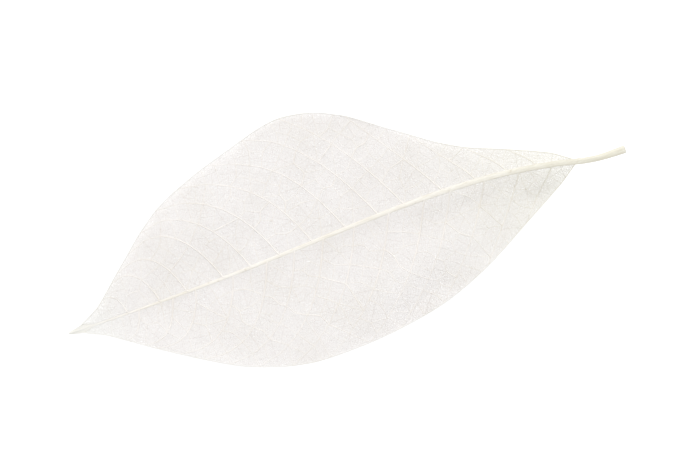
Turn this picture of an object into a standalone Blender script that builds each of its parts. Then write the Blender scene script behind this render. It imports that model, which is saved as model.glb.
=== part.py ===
"""A skeleton leaf: a dried leaf with its green tissue gone, so that the stalk, the midrib and the net of veins are left.

Metres, +Z up. The leaf lies on a flat surface with its veined underside up, and touches it with three low flat spots:
one under the midrib, which holds the origin, and one under each margin. +X runs from the stalk to the tip.

The leaf starts as a flat map of vein centre lines. The map is cut into meshes again and again, each cut a finer vein.
Every mesh is then opened, which leaves a strip of vein round it. Last, the map is laid over the leaf's relief and gets
its thickness. Sizes are in millimetres until then.
"""

import math
import random

import bmesh
import bpy
from mathutils import Vector

MM = 0.001

# Driving dimensions
BLADE_LENGTH = 88.0
STALK_LENGTH = 8.5
TOUCH_SHARE = 0.68  # share of the blade's length from its base to the origin
MIDRIB_BOW = 2.3  # how far the midrib bows sideways, a quarter of the way along

# The margins: share of the blade's length, then the half width there as a share of the same length
NEAR_MARGIN = (
    (0.0, 0.010), (0.05, 0.052), (0.10, 0.088), (0.20, 0.153), (0.30, 0.196), (0.40, 0.213), (0.50, 0.216),
    (0.60, 0.207), (0.70, 0.172), (0.78, 0.126), (0.87, 0.068), (0.94, 0.020), (0.97, 0.009), (1.0, 0.002),
)
FAR_MARGIN = (
    (0.0, 0.010), (0.05, 0.026), (0.10, 0.040), (0.20, 0.075), (0.30, 0.142), (0.40, 0.213), (0.50, 0.241),
    (0.60, 0.222), (0.70, 0.194), (0.78, 0.158), (0.87, 0.084), (0.94, 0.022), (0.97, 0.009), (1.0, 0.002),
)

# Veins
SIDE_VEINS = 14  # on each side of the midrib
FIRST_SIDE_VEIN, LAST_SIDE_VEIN = 0.035, 0.865
SIDE_VEIN_SWEEP = 0.9  # how far a side vein reaches forward, as a share of how far it reaches across
FINEST_MESH = 10.0  # mm2: a larger mesh is cut in two
MIDRIB_HALF_WIDTH = (0.62, 0.28)  # at the base and at the tip
SIDE_VEIN_HALF_WIDTH = (0.45, 0.28)  # at the midrib and at the margin
CROSS_VEIN_HALF_WIDTH = 0.25
MARGIN_HALF_WIDTH = 0.32
FILLET = 0.10  # strip of net along the midrib
STALK_RADIUS, STALK_END_RADIUS = 0.60, 0.78
SOLID_TIP = (0.93, 0.965)  # where the midrib starts to spread into the solid tip, and where it is the whole blade

# Thickness
NET_THICKNESS = 0.66
CREST = 0.55  # how far a vein's crest stands over its edges, as a share of its half width
MIDRIB_HEIGHT = (1.20, 0.72)  # at the base and at the tip
SMALLEST_HOLE = 0.30  # mm2: a smaller hole stays closed

# Relief
BLADE_LIFT = 0.35  # the middle of the blade stands clear of the surface
# Each low spot: share along the blade, share of the half width across, depth and spread
LOW_SPOTS = ((TOUCH_SHARE, 0.0, 0.6, 1.9), (0.32, 0.93, 1.7, 2.6), (0.36, -0.92, 1.7, 2.6))
FOLD_HEIGHT, FOLD_END, FOLD_FADE = 4.4, 0.42, 1.3  # the blade is folded down along the midrib at its base
NEAR_FOLD, FAR_FOLD = 5.5, 8.0  # how far across the fold runs out
FOLD_DEPTH = 0.82
STALK_DROOP = 200.0
TIP_LIFT, TIP_LIFT_START = 2.2, 0.80
TIP_HOOK, TIP_HOOK_START = 1.3, 0.93
MARGIN_WAVE, MARGIN_WAVES = 0.45, 4.5

LEAF_COLOUR = (0.90, 0.87, 0.80, 1.0)
LEAF_ROUGHNESS = 0.75

# How the map is drawn
STRIP_ROWS = (-1.0, -0.6, 0.0, 0.6, 1.0)  # rows of points along the midrib, as shares of its half width
STALK_STATIONS = (1.0, 0.9, 0.72, 0.5, 0.25)  # shares of the stalk's length
SIDE_VEIN_STEPS = 7
MARGIN_STEP = 0.032
CUT_DRIFT, CUT_TURN = 0.11, math.radians(14)
SNAP = 0.22  # a vein ends in a junction that is nearer than this share of its mesh's size
RELAX_ROUNDS, RELAX_SHARE = 3, 0.30
SHORTEST_SIDE = 0.02  # of an opened mesh
SEED = 20


class Roll:
    """A soft roll along one half of the blade: it rises to a crest, then falls to the margin."""

    def __init__(self, side, centre, spread, height, crest, crest_slope, at_margin):
        self.side = side
        self.centre, self.spread = centre, spread
        self.height = height
        self.crest, self.crest_slope = crest, crest_slope
        self.at_margin = at_margin

    def rise(self, u, v):
        across = self.side * v
        if across <= 0:
            return 0.0
        crest = min(0.85, self.crest + self.crest_slope * (u - self.centre))
        if across < crest:
            share = smooth((across - 0.2) / max(0.1, crest - 0.2))
        else:
            share = 1 - (1 - self.at_margin) * smooth((across - crest) / (1 - crest))
        return self.height * share * math.exp(-(((u - self.centre) / self.spread) ** 2))


ROLLS = (
    Roll(side=1, centre=0.36, spread=0.15, height=1.9, crest=0.62, crest_slope=0.9, at_margin=0.05),
    Roll(side=1, centre=0.17, spread=0.10, height=0.6, crest=0.50, crest_slope=0.9, at_margin=0.6),
    Roll(side=-1, centre=0.72, spread=0.13, height=1.3, crest=0.58, crest_slope=0.0, at_margin=0.5),
    Roll(side=-1, centre=0.36, spread=0.09, height=0.9, crest=0.70, crest_slope=0.0, at_margin=0.4),
    Roll(side=1, centre=0.80, spread=0.09, height=0.8, crest=0.75, crest_slope=0.0, at_margin=0.9),
)


def smooth(value):
    """0 up to 0, 1 from 1, and an even slope between."""
    value = min(1.0, max(0.0, value))
    return value * value * (3 - 2 * value)


def between(pair, share):
    return pair[0] + (pair[1] - pair[0]) * min(1.0, max(0.0, share))


def along_profile(profile, u):
    """A smooth curve through the profile's points."""
    u = min(1.0, max(0.0, u))
    last = len(profile) - 2
    i = next((k for k in range(last) if u < profile[k + 1][0]), last)
    (u0, w0), (u1, w1) = profile[i], profile[i + 1]
    before, after = profile[max(0, i - 1)], profile[min(last + 1, i + 2)]
    step = u1 - u0
    slope0 = (w1 - before[1]) / (u1 - before[0]) * step
    slope1 = (after[1] - w0) / (after[0] - u0) * step
    t = (u - u0) / step
    start = w0 * (2 * t**3 - 3 * t**2 + 1) + slope0 * (t**3 - 2 * t**2 + t)
    return start + w1 * (3 * t**2 - 2 * t**3) + slope1 * (t**3 - t**2)


def half_width(side, u):
    return BLADE_LENGTH * along_profile(NEAR_MARGIN if side > 0 else FAR_MARGIN, u)


def bow(u):
    """0 at both ends of the blade and 1 a quarter of the way along."""
    u = min(1.0, max(0.0, u))
    return u * (1 - u) ** 3 * 256 / 27


def midrib_y(u):
    return MIDRIB_BOW * (bow(TOUCH_SHARE) - bow(u))


def midrib_half_width(side, u):
    """Half the width of the midrib, which goes on as the stalk before the base and spreads into the solid tip."""
    if u < 0:
        end = smooth(-u * BLADE_LENGTH / STALK_LENGTH * 1.6 - 0.6)
        return between((STALK_RADIUS, STALK_END_RADIUS), end)
    width = between(MIDRIB_HALF_WIDTH, u)
    tip = smooth((u - SOLID_TIP[0]) / (SOLID_TIP[1] - SOLID_TIP[0]))
    return width + tip * (half_width(side, u) - width)


def to_plan(u, y):
    """A point of the map, u along the blade and y from the midrib's centre line."""
    return Vector(((u - TOUCH_SHARE) * BLADE_LENGTH, midrib_y(u) + y, 0.0))


def from_plan(point):
    """A point's share along the blade, its distance from the midrib, and that as a share of the half width there."""
    u = point.x / BLADE_LENGTH + TOUCH_SHARE
    y = point.y - midrib_y(u)
    v = y / half_width(1 if y > 0 else -1, u)
    return u, y, min(1.0, max(-1.0, v))


def low_spot_depth(point):
    depth = 0.0
    for u, v, deepest, spread in LOW_SPOTS:
        spot = to_plan(u, v * half_width(1 if v > 0 else -1, u))
        depth += deepest * math.exp(-((point.xy - spot.xy).length / spread) ** 2)
    return depth


def relief(point):
    """Height of the leaf's lower face over the surface. It is 0 in the low spots."""
    u, y, v = from_plan(point)
    if u < 0:
        rise = FOLD_FADE * FOLD_HEIGHT / FOLD_END
        return BLADE_LIFT + FOLD_HEIGHT - rise * u - STALK_DROOP * u * u
    fold = FOLD_HEIGHT * max(0.0, 1 - u / FOLD_END) ** FOLD_FADE
    height = BLADE_LIFT - low_spot_depth(point) + fold * (1 - FOLD_DEPTH * smooth(y / NEAR_FOLD if y > 0 else -y / FAR_FOLD))
    height += TIP_LIFT * max(0.0, (u - TIP_LIFT_START) / (1 - TIP_LIFT_START)) ** 2
    height -= TIP_HOOK * max(0.0, (u - TIP_HOOK_START) / (1 - TIP_HOOK_START)) ** 2
    wave = 0.5 - 0.5 * math.cos(2 * math.pi * MARGIN_WAVES * u + v)
    height += MARGIN_WAVE * wave * smooth(3 * abs(v) - 2)
    return max(0.0, height + sum(roll.rise(u, v) for roll in ROLLS))


def side_vein_end(side, start):
    """Where along the blade the side vein that leaves the midrib at start meets the margin."""
    reach = (half_width(side, start) + half_width(side, start + 0.1)) / 2
    return start + SIDE_VEIN_SWEEP * reach / BLADE_LENGTH


def side_vein_point(side, start, v):
    """A point on the side vein that leaves the midrib at start: v is 0 at the midrib and 1 at the margin."""
    u = start + (side_vein_end(side, start) - start) * (0.5 * v + 0.5 * v**3)
    edge = midrib_half_width(side, u)
    return to_plan(u, side * (edge + v * (half_width(side, u) - edge)))


def side_vein_starts(side, rng):
    gap = (LAST_SIDE_VEIN - FIRST_SIDE_VEIN) / (SIDE_VEINS - 1)
    offset = 0.0 if side > 0 else 0.4 * gap
    return [FIRST_SIDE_VEIN + offset + gap * (k + rng.uniform(-0.15, 0.15)) for k in range(SIDE_VEINS)]


def polygon_area(points):
    return 0.5 * sum(a.x * b.y - b.x * a.y for a, b in zip(points, points[1:] + points[:1]))


def long_way(points):
    """Centre of a polygon, the direction in which it is longest, and its length that way."""
    origin = points[0]
    local = [point - origin for point in points]
    cx = cy = xx = yy = xy = 0.0
    for a, b in zip(local, local[1:] + local[:1]):
        cross = a.x * b.y - b.x * a.y
        cx += cross * (a.x + b.x) / 6
        cy += cross * (a.y + b.y) / 6
        xx += cross * (a.x * a.x + a.x * b.x + b.x * b.x) / 12
        yy += cross * (a.y * a.y + a.y * b.y + b.y * b.y) / 12
        xy += cross * (a.x * b.y + 2 * a.x * a.y + 2 * b.x * b.y + b.x * a.y) / 24
    area = polygon_area(local)
    cx, cy = cx / area, cy / area
    xx, yy, xy = xx / area - cx * cx, yy / area - cy * cy, xy / area - cx * cy
    angle = 0.5 * math.atan2(2 * xy, xx - yy)
    spread = (xx + yy) / 2 + math.hypot((xx - yy) / 2, xy)
    return origin + Vector((cx, cy, 0)), angle, math.sqrt(12 * spread)


def inner_corner(corners, ways, widths, a, b):
    """Where sides a and b of a polygon meet once each is moved inwards by its own width."""
    start = corners[a] + inwards(ways[a]) * widths[a]
    gap = corners[b] + inwards(ways[b]) * widths[b] - start
    turn = ways[a].x * ways[b].y - ways[a].y * ways[b].x
    if abs(turn) < 0.12:
        return corners[b] + (inwards(ways[a]) + inwards(ways[b])).normalized() * max(widths[a], widths[b])
    return start + ways[a] * ((gap.x * ways[b].y - gap.y * ways[b].x) / turn)


def inwards(way):
    return Vector((-way.y, way.x, 0))


def opened(corners, widths):
    """For each side of a polygon, its two ends once it is moved inwards by its own width.

    A side that is used up on the way has both ends in one point. None if nothing of the polygon is left.
    """
    count = len(corners)
    ways = [(corners[(k + 1) % count] - corners[k]).normalized() for k in range(count)]
    left = list(range(count))
    while True:
        ends = {}
        for before, k, after in zip(left[-1:] + left[:-1], left, left[1:] + left[:1]):
            start = inner_corner(corners, ways, widths, before, k)
            ends[k] = (start, inner_corner(corners, ways, widths, k, after))
        shortest = min(left, key=lambda k: (ends[k][1] - ends[k][0]).dot(ways[k]))
        if (ends[shortest][1] - ends[shortest][0]).dot(ways[shortest]) > SHORTEST_SIDE:
            break
        left.remove(shortest)
        if len(left) < 3:
            return None
    for k in range(count):
        if k not in ends:
            following = next(k + step for step in range(1, count) if (k + step) % count in left)
            ends[k] = (ends[following % count][0],) * 2
    return [ends[k] for k in range(count)]


class VeinMap:
    """The flat map of vein centre lines: a mesh whose faces are the leaf's meshes and its solid parts."""

    def __init__(self):
        self.bm = bmesh.new()
        self.width = self.bm.edges.layers.float.new("half_width")
        self.cross_vein = self.bm.edges.layers.int.new("cross_vein")
        self.solid = self.bm.faces.layers.int.new("solid")
        self.free = self.bm.verts.layers.int.new("free")
        self.rise = self.bm.verts.layers.float.new("rise")
        self.drop = self.bm.verts.layers.float.new("drop")
        self.rng = random.Random(SEED)

    def add_face(self, verts, solid):
        face = self.bm.faces.new(verts)
        face[self.solid] = solid
        return face

    def set_widths(self, verts, width_at):
        """Half widths for the edges along a line of vertices, from a function of the share along it."""
        for k, pair in enumerate(zip(verts, verts[1:])):
            self.bm.edges.get(pair)[self.width] = width_at(k / (len(verts) - 1))

    def draw_midrib(self, starts):
        """The midrib and stalk, a strip of solid faces. Returns the vertices of each edge of it, by share along."""
        stalk = [-STALK_LENGTH / BLADE_LENGTH * share for share in STALK_STATIONS]
        blade = sorted({0.0, TOUCH_SHARE, *SOLID_TIP, sum(SOLID_TIP) / 2, 0.98, 1.0, *starts[1], *starts[-1]})
        rows = {u: self.draw_station(u) for u in stalk + blade}
        for first, second in zip(list(rows.values()), list(rows.values())[1:]):
            for k in range(len(STRIP_ROWS) - 1):
                self.add_face([first[k], second[k], second[k + 1], first[k + 1]], solid=1)
        far, near = ({u: row[end] for u, row in rows.items() if u >= 0} for end in (0, -1))
        return {1: near, -1: far}

    def draw_station(self, u):
        """One row of points across the midrib, with a rounded crest, and a round underside along the stalk."""
        row = []
        bare = smooth(-u * BLADE_LENGTH / STALK_LENGTH * 3)
        height = between(MIDRIB_HEIGHT, u) + bare * (midrib_half_width(1, u) + 0.35 - MIDRIB_HEIGHT[0])
        for share in STRIP_ROWS:
            radius = midrib_half_width(1 if share > 0 else -1, u)
            arch = math.sqrt(1 - (0.92 * share) ** 2)
            vert = self.bm.verts.new(to_plan(u, share * radius))
            vert[self.rise] = NET_THICKNESS * 0.8 * (1 - arch) + height * arch
            vert[self.drop] = bare * 0.75 * radius * arch
            row.append(vert)
        return row

    def draw_side(self, side, starts, midrib_edge):
        """The side veins and margin of one half of the blade. Returns the bands between the veins, as faces."""
        tip = SOLID_TIP[1]
        ends = [side_vein_end(side, start) for start in starts]
        steps = round(tip / MARGIN_STEP)
        marks = {tip * k / steps for k in range(1, steps)}
        marks = {u for u in marks if all(abs(u - end) > 0.4 * MARGIN_STEP for end in ends)} | set(ends)
        margin = {u: self.bm.verts.new(to_plan(u, side * half_width(side, u))) for u in marks}
        margin[0.0], margin[tip] = midrib_edge[0.0], midrib_edge[tip]
        veins = []
        for start, end in zip(starts, ends):
            shares = [k / SIDE_VEIN_STEPS for k in range(1, SIDE_VEIN_STEPS)]
            middle = [self.bm.verts.new(side_vein_point(side, start, share)) for share in shares]
            veins.append([midrib_edge[start], *middle, margin[end]])
        bands = []
        borders = [([midrib_edge[0.0]], 0.0, 0.0), *zip(veins, starts, ends), ([midrib_edge[tip]], tip, tip)]
        for (vein, start, end), (next_vein, next_start, next_end) in zip(borders, borders[1:]):
            outer = [margin[u] for u in sorted(margin) if end < u < next_end]
            inner = [midrib_edge[u] for u in sorted(midrib_edge, reverse=True) if start < u < next_start]
            loop = vein + outer + next_vein[::-1] + inner
            bands.append(self.add_face(loop if side < 0 else loop[::-1], solid=0))
        for vein in veins:
            self.set_widths(vein, lambda share: between(SIDE_VEIN_HALF_WIDTH, share))
        self.set_widths([margin[u] for u in sorted(margin)], lambda share: MARGIN_HALF_WIDTH)
        self.set_widths([midrib_edge[u] for u in sorted(midrib_edge) if u <= tip], lambda share: FILLET)
        return bands

    def cut_meshes(self, bands):
        """Cuts each mesh in two until none is larger than the finest. Each cut is a vein across its long way."""
        waiting = list(bands)
        while waiting:
            face = waiting.pop(0)
            if face.calc_area() > FINEST_MESH:
                waiting += self.cut(face)

    def cut(self, face):
        centre, angle, length = long_way([vert.co for vert in face.verts])
        along = Vector((math.cos(angle), math.sin(angle), 0))
        centre = centre + along * length * self.rng.uniform(-CUT_DRIFT, CUT_DRIFT)
        angle += self.rng.uniform(-CUT_TURN, CUT_TURN)
        along = Vector((math.cos(angle), math.sin(angle), 0))
        across = inwards(along)
        crossings = []
        for edge in face.edges:
            a, b = ((vert.co - centre).dot(along) for vert in edge.verts)
            if (a < 0) != (b < 0):
                place = edge.verts[0].co.lerp(edge.verts[1].co, a / (a - b))
                crossings.append(((place - centre).dot(across), edge, a / (a - b)))
        ahead = min((c for c in crossings if c[0] > 0), key=lambda c: c[0], default=None)
        behind = max((c for c in crossings if c[0] <= 0), key=lambda c: c[0], default=None)
        if not ahead or not behind:
            return []
        snap = SNAP * math.sqrt(face.calc_area())
        ends = [self.junction(edge, share, snap) for _, edge, share in (ahead, behind)]
        if ends[0] == ends[1] or self.bm.edges.get(ends):
            return []
        other, loop = bmesh.utils.face_split(face, *ends)
        loop.edge[self.width] = CROSS_VEIN_HALF_WIDTH
        loop.edge[self.cross_vein] = 1
        return [face, other]

    def junction(self, edge, share, snap):
        """The vertex where a new vein meets an edge: an end of the edge if that is near enough, or a new one."""
        start, end = edge.verts
        if share * edge.calc_length() < snap:
            return start
        if (1 - share) * edge.calc_length() < snap:
            return end
        is_free = edge[self.cross_vein]
        made = bmesh.utils.edge_split(edge, start, share)[1]
        made[self.free] = is_free
        return made

    def relax(self):
        """Draws each free junction towards its neighbours, as taut threads would."""
        for _ in range(RELAX_ROUNDS):
            places = {}
            for vert in self.bm.verts:
                if vert[self.free]:
                    around = [edge.other_vert(vert).co for edge in vert.link_edges]
                    places[vert] = vert.co.lerp(sum(around, Vector()) / len(around), RELAX_SHARE)
            for vert, place in places.items():
                vert.co = place

    def open_meshes(self):
        """Opens each mesh, which leaves a strip of vein along every side of it."""
        for face in [face for face in self.bm.faces if not face[self.solid]]:
            corners = [loop.vert for loop in face.loops]
            inner = opened([vert.co.copy() for vert in corners], [loop.edge[self.width] for loop in face.loops])
            if inner is None or polygon_area([start for start, _ in inner]) < SMALLEST_HOLE:
                face[self.solid] = 1
                continue
            self.bm.faces.remove(face)
            made = {}
            for a, b, ends in zip(corners, corners[1:] + corners[:1], inner):
                start, end = (self.inner_vert(made, place) for place in ends)
                self.add_face([a, b, end] if start == end else [a, b, end, start], solid=1)

    def inner_vert(self, made, place):
        key = (round(place.x, 4), round(place.y, 4))
        if key not in made:
            made[key] = self.bm.verts.new(place)
        return made[key]

    def set_rises(self):
        """The net has an even thickness, with a crest along the middle of each vein."""
        for vert in self.bm.verts:
            if vert[self.rise] == 0.0:
                on_margin = any(edge.is_boundary for edge in vert.link_edges)
                widest = 0.0 if on_margin else max(edge[self.width] for edge in vert.link_edges)
                vert[self.rise] = NET_THICKNESS + CREST * widest

    def thicken(self):
        """Lays the map over the relief, and raises a copy of it as the upper face, with walls between the two."""
        bm = self.bm
        bmesh.ops.triangulate(bm, faces=bm.faces[:])
        for vert in bm.verts:
            vert.co.z = relief(vert.co)
        lower = set(bm.verts)
        bmesh.ops.extrude_face_region(bm, geom=bm.faces[:], use_keep_orig=True)
        for vert in bm.verts:
            vert.co.z += -vert[self.drop] if vert in lower else vert[self.rise]
        bmesh.ops.recalc_face_normals(bm, faces=bm.faces[:])
        bmesh.ops.scale(bm, vec=(MM, MM, MM), verts=bm.verts[:])


def leaf_material():
    material = bpy.data.materials.new("bleached_vein")
    material.use_nodes = True
    shader = material.node_tree.nodes["Principled BSDF"]
    shader.inputs["Base Color"].default_value = LEAF_COLOUR
    shader.inputs["Roughness"].default_value = LEAF_ROUGHNESS
    shader.inputs["Metallic"].default_value = 0.0
    return material


def build_leaf():
    vein_map = VeinMap()
    starts = {side: side_vein_starts(side, vein_map.rng) for side in (1, -1)}
    midrib_edges = vein_map.draw_midrib(starts)
    bands = []
    for side in (1, -1):
        bands += vein_map.draw_side(side, starts[side], midrib_edges[side])
    vein_map.cut_meshes(bands)
    vein_map.relax()
    vein_map.open_meshes()
    vein_map.set_rises()
    vein_map.thicken()
    mesh = bpy.data.meshes.new("skeleton_leaf")
    vein_map.bm.to_mesh(mesh)
    vein_map.bm.free()
    mesh.materials.append(leaf_material())
    leaf = bpy.data.objects.new("skeleton_leaf", mesh)
    bpy.context.scene.collection.objects.link(leaf)


def main():
    for old in list(bpy.data.objects):
        bpy.data.objects.remove(old)
    build_leaf()


main()
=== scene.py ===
"""A bleached skeleton leaf, dressed over its CAD frame: the fine net of veins, the midrib and the finish.

The frame gives the leaf's place and length. The net starts from the same map of veins as the CAD solid and
goes on cutting until its meshes are a fraction of a millimetre wide. Sizes in the map are in millimetres.
Along the blade, u is 0 at its base and 1 at its tip. A side is 1 for the near half, on +Y, and -1 for the
far half.
"""

import math
import random

import bmesh
import bpy
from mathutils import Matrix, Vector, noise


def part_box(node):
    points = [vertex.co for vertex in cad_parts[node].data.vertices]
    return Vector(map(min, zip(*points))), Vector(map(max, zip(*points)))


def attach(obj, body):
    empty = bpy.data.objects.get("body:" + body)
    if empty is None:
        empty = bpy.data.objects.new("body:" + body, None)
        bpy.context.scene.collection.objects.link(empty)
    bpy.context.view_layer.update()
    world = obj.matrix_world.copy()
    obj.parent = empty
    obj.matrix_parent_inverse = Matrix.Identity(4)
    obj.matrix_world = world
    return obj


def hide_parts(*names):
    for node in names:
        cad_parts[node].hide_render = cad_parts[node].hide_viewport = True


bl_info = {
    "name": "Skeleton Leaf",
    "version": (1, 0, 0),
    "blender": (4, 5, 0),
    "location": "View3D > Sidebar > Skeleton Leaf",
    "description": "Builds the visible net, midrib and veins of a bleached skeleton leaf",
    "category": "Object",
}

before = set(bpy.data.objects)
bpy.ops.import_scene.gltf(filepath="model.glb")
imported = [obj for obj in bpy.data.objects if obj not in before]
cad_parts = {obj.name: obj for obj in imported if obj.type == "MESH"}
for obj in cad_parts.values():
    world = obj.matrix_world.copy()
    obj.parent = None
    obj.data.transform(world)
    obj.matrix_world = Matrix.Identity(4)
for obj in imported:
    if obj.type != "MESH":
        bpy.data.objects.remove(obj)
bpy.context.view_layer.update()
CAD_NODE = "skeleton_leaf"
CAD_LOW, CAD_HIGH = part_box(CAD_NODE)
BODY = "root"

MM = 0.001
SIDES = (1, -1)

# The leaf's outline, as in the CAD solid
LEAF_LENGTH = round((CAD_HIGH.x - CAD_LOW.x) / MM, 2)
STALK_SHARE = 0.08808  # of the leaf's length
STALK_LENGTH = round(LEAF_LENGTH * STALK_SHARE, 2)
BLADE_LENGTH = LEAF_LENGTH - STALK_LENGTH
TOUCH_SHARE = round(1 - CAD_HIGH.x / MM / BLADE_LENGTH, 4)  # where along the blade the origin is
MIDRIB_BOW = 2.3
BOW_SLOPE = 256 / 27  # of the bow at the base
STALK_BEND = 0.065  # share of the blade's length over which the stalk straightens
# Points of the margin: where along the blade, and the half width there as a share of the blade's length
NEAR_MARGIN = (
    (0.0, 0.010), (0.05, 0.052), (0.10, 0.088), (0.20, 0.153), (0.30, 0.196), (0.40, 0.213), (0.50, 0.216),
    (0.60, 0.207), (0.70, 0.172), (0.78, 0.126), (0.87, 0.068), (0.94, 0.020), (0.97, 0.009), (1.0, 0.002),
)
FAR_MARGIN = (
    (0.0, 0.010), (0.05, 0.026), (0.10, 0.040), (0.20, 0.075), (0.30, 0.142), (0.40, 0.213), (0.50, 0.241),
    (0.60, 0.222), (0.70, 0.194), (0.78, 0.158), (0.87, 0.084), (0.94, 0.022), (0.97, 0.009), (1.0, 0.002),
)

# The leaf's relief: the CAD solid's, with softer low spots and a wave that fades out before the tip
BLADE_LIFT = 0.35
# Each low spot: share along the blade, share of the half width across, depth and spread
LOW_SPOTS = ((TOUCH_SHARE, 0.0, 0.6, 3.2), (0.32, 0.93, 1.5, 6.0), (0.36, -0.92, 1.5, 6.0))
FOLD_HEIGHT, FOLD_END, FOLD_FADE = 4.4, 0.42, 1.3  # the fold along the midrib, highest at the base
FOLD_DEPTH, NEAR_FOLD, FAR_FOLD = 0.82, 5.5, 8.0  # how much of it the blade falls by, and how far across
STALK_DROOP = 200.0
TIP_LIFT, TIP_LIFT_START = 2.2, 0.80
TIP_HOOK, TIP_HOOK_START = 1.3, 0.93
MARGIN_WAVE, MARGIN_WAVES, WAVE_FADE = 0.45, 4.5, (0.88, 0.96)  # the wave in the blade's outer third
ROLL_START, SHORTEST_RISE, OUTERMOST_CREST = 0.2, 0.1, 0.85  # shares of the half width

# The coarse veins, as in the CAD solid
SEED = 20
SIDE_VEINS = 14  # on each side
FIRST_SIDE_VEIN, LAST_SIDE_VEIN = 0.035, 0.865
FAR_OFFSET, START_SHIFT = 0.4, 0.15  # shares of the gap between two side veins
SIDE_VEIN_SWEEP, SWEEP_AHEAD = 0.9, 0.1
SIDE_VEIN_STEPS = 7
CAD_MIDRIB_HALF_WIDTH = (0.62, 0.28)
SOLID_TIP = (0.93, 0.965)  # where the midrib starts to spread into the CAD's tip, and where its net ends
MARGIN_STEP = 0.032
NEAREST_MARK = 0.4 * MARGIN_STEP  # between a point of the margin and a side vein's end
COARSE_MESH = 10.0  # mm2
CUT_DRIFT, CUT_TURN = 0.11, math.radians(14)
SNAP = 0.22
COARSE_RELAX = (3, 0.30)

# The fine net
FINE_RELAX = (5, 0.34)
LINE_RELAX = (10, 0.5)
MESH_VARIETY, MESH_PATCH = 0.28, 5.0  # how far the finest mesh's size drifts, and the size of such a patch
PATCH_PLACE = Vector((7.3, 2.1, 4.4))
SKIPPED_CUTS = 0.0012  # share of small meshes in which the last threads are missing
SKIPPED_MESH = 0.16  # mm2: only meshes smaller than this lack threads
NARROWED_MESH = 0.24  # mm: the threads round a mesh smaller than this are narrower
SMALLEST_HOLE = 0.003  # mm2
SHORTEST_SIDE = 0.004
STRAIGHT_TURN = 0.12  # sine of the turn below which two sides of a mesh count as one line
CREST, HIGHEST_CREST = 0.34, 0.16  # of a thread, as a share of its half width, and at most
LOWER_CREST = 0.8  # as a share of the upper one
BAKE_EDGE = 0.01  # left free round each half of a piece's flat map

# Heights over the relief
NET_FLOAT = 0.13
COCKLE_HEIGHT, COCKLE_SIZE = 0.14, 6.0
SMALL_COCKLE_HEIGHT, SMALL_COCKLE_SIZE = 0.45, 0.37  # as shares of the large ones'
COCKLE_LEVEL, COCKLE_STRENGTH = 0.5, 0.6
COCKLE_START = 3.0  # distance from the midrib over which the net starts to cockle
RIDGE_HEIGHT = 0.42  # the net climbs to the midrib
NEAR_RIDGE, FAR_RIDGE = 1.9, 1.0  # how far across it starts to climb
RIDGE_FADE = (0.55, 0.95)  # where along the blade the climb fades out

# Numbers of the map's lines
MIDRIB_LINES = {1: 1, -1: 2}
MARGIN_LINES = {1: 3, -1: 4}
FIRST_SIDE_LINE = {1: 10, -1: 40}
FIRST_CROSS_LINE = 100

# The net's pieces, parted along side veins
SPLIT_VEINS = {1: (4, 8), -1: (5, 8)}
NET_PARTS = ("base", "middle", "tip")
NET_PIECES = ["net_" + half + "_" + part for half in ("near", "far") for part in NET_PARTS]

# The midrib and the stalk
MIDRIB_STEP, MIDRIB_SIDES = 0.4, 42
MIDRIB_TAPER = 1.1
MIDRIB_FLATNESS = 0.44  # height of its section as a share of the width; the stalk's is round
MIDRIB_FLOAT, MIDRIB_LIFT = 0.55, 0.02  # its middle over the climb: a share of its height, and a little more
MIDRIB_RIDGES, RIDGE_DEPTH, RIDGE_TWIST = 7, 0.045, 9
LUMP_DEPTH, LUMP_LENGTH, LUMPS_ROUND = 0.07, 3.5, 2.2
TUCK = 0.6  # how far the net reaches in under the midrib, as a share of its half width there
STALK_FLOAT = 0.25
STALK_ROUNDED = 1 / 3  # share of its length after which the stalk is round
STALK_FLARE = 0.375  # share of its length after which it widens to the cut end
# Rings at the cut end and at the tip: scale, and shift along the leaf
CUT_END = ((0.30, 0.34), (0.52, 0.20), (0.66, 0.26), (0.80, 0.05), (0.93, 0.0), (1.0, 0.10))
TIP_END = ((0.75, -0.12), (0.4, 0.0))

# The visible tip
DRAWN_TIP = (0.945, 0.978)  # where the midrib starts to spread into it, and where the net ends
TIP_HALF_HEIGHT = (0.07, 0.06)
TIP_RIDGE = 0.13  # height and width of the midrib's ridge along it
TIP_SMOOTHING = 0.7  # share of the midrib's unevenness that it loses
TIP_MARGIN_START = 0.004  # how far before the net's end the margin's vein moves on to the tip
TIP_MARGIN_STEPS = 8
TIP_MARGIN_REACH, TIP_MARGIN_ACROSS = 0.75, 0.85  # shares of the tip's length and of its half width
TIP_MARGIN_TAPER = 0.7  # share of its radius that the vein loses on the way

# The round veins: sides, unevenness, and how far they lie sunk in the net as a share of their radius
SIDE_VEIN = (8, 0.03, 0.75)
CROSS_VEIN = (6, 0.012, 0.7)
MARGIN_VEIN = (8, 0.012, 0.9)
ROOT_STEP = 0.002  # share of the blade by which a side vein's root lies behind its first point
BUMP_SCALE = 1600.0
VEIN_RADIUS = "vein_radius"

# Each finish: strength of its patches, flecks and fibres, roughness, height of its bumps, specular level
FINISHES = {
    "net": (0.16, 0.12, 0.05, 0.68, 0.010, 0.30),
    "midrib": (0.25, 0.35, 0.28, 0.58, 0.05, 0.38),
    "side_vein": (0.20, 0.2, 0.12, 0.62, 0.02, 0.34),
    "margin": (0.20, 0.2, 0.12, 0.62, 0.02, 0.34),
}
TIP_COLOUR_START = 0.86
FIBRE_STRETCH = (350.0, 6500.0, 6500.0)
GRAIN_SCALE, GRAIN_ROUGHNESS, GRAIN_HEIGHT = 7000.0, 0.12, 0.4

# The stage, in metres
FLOOR_HALF_SIZE = 1.5
FLOOR_SHADE, FLOOR_CLOUD_SCALE = 0.985, 9.0
KEY_SIZE, KEY_DISTANCE = 0.45, 0.9
KEY_BACK, KEY_UP = 0.75, 0.66  # the direction in which the key light stands
WHITE = (1, 1, 1, 1)


def clamp(value):
    return min(1.0, max(0.0, value))


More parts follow.
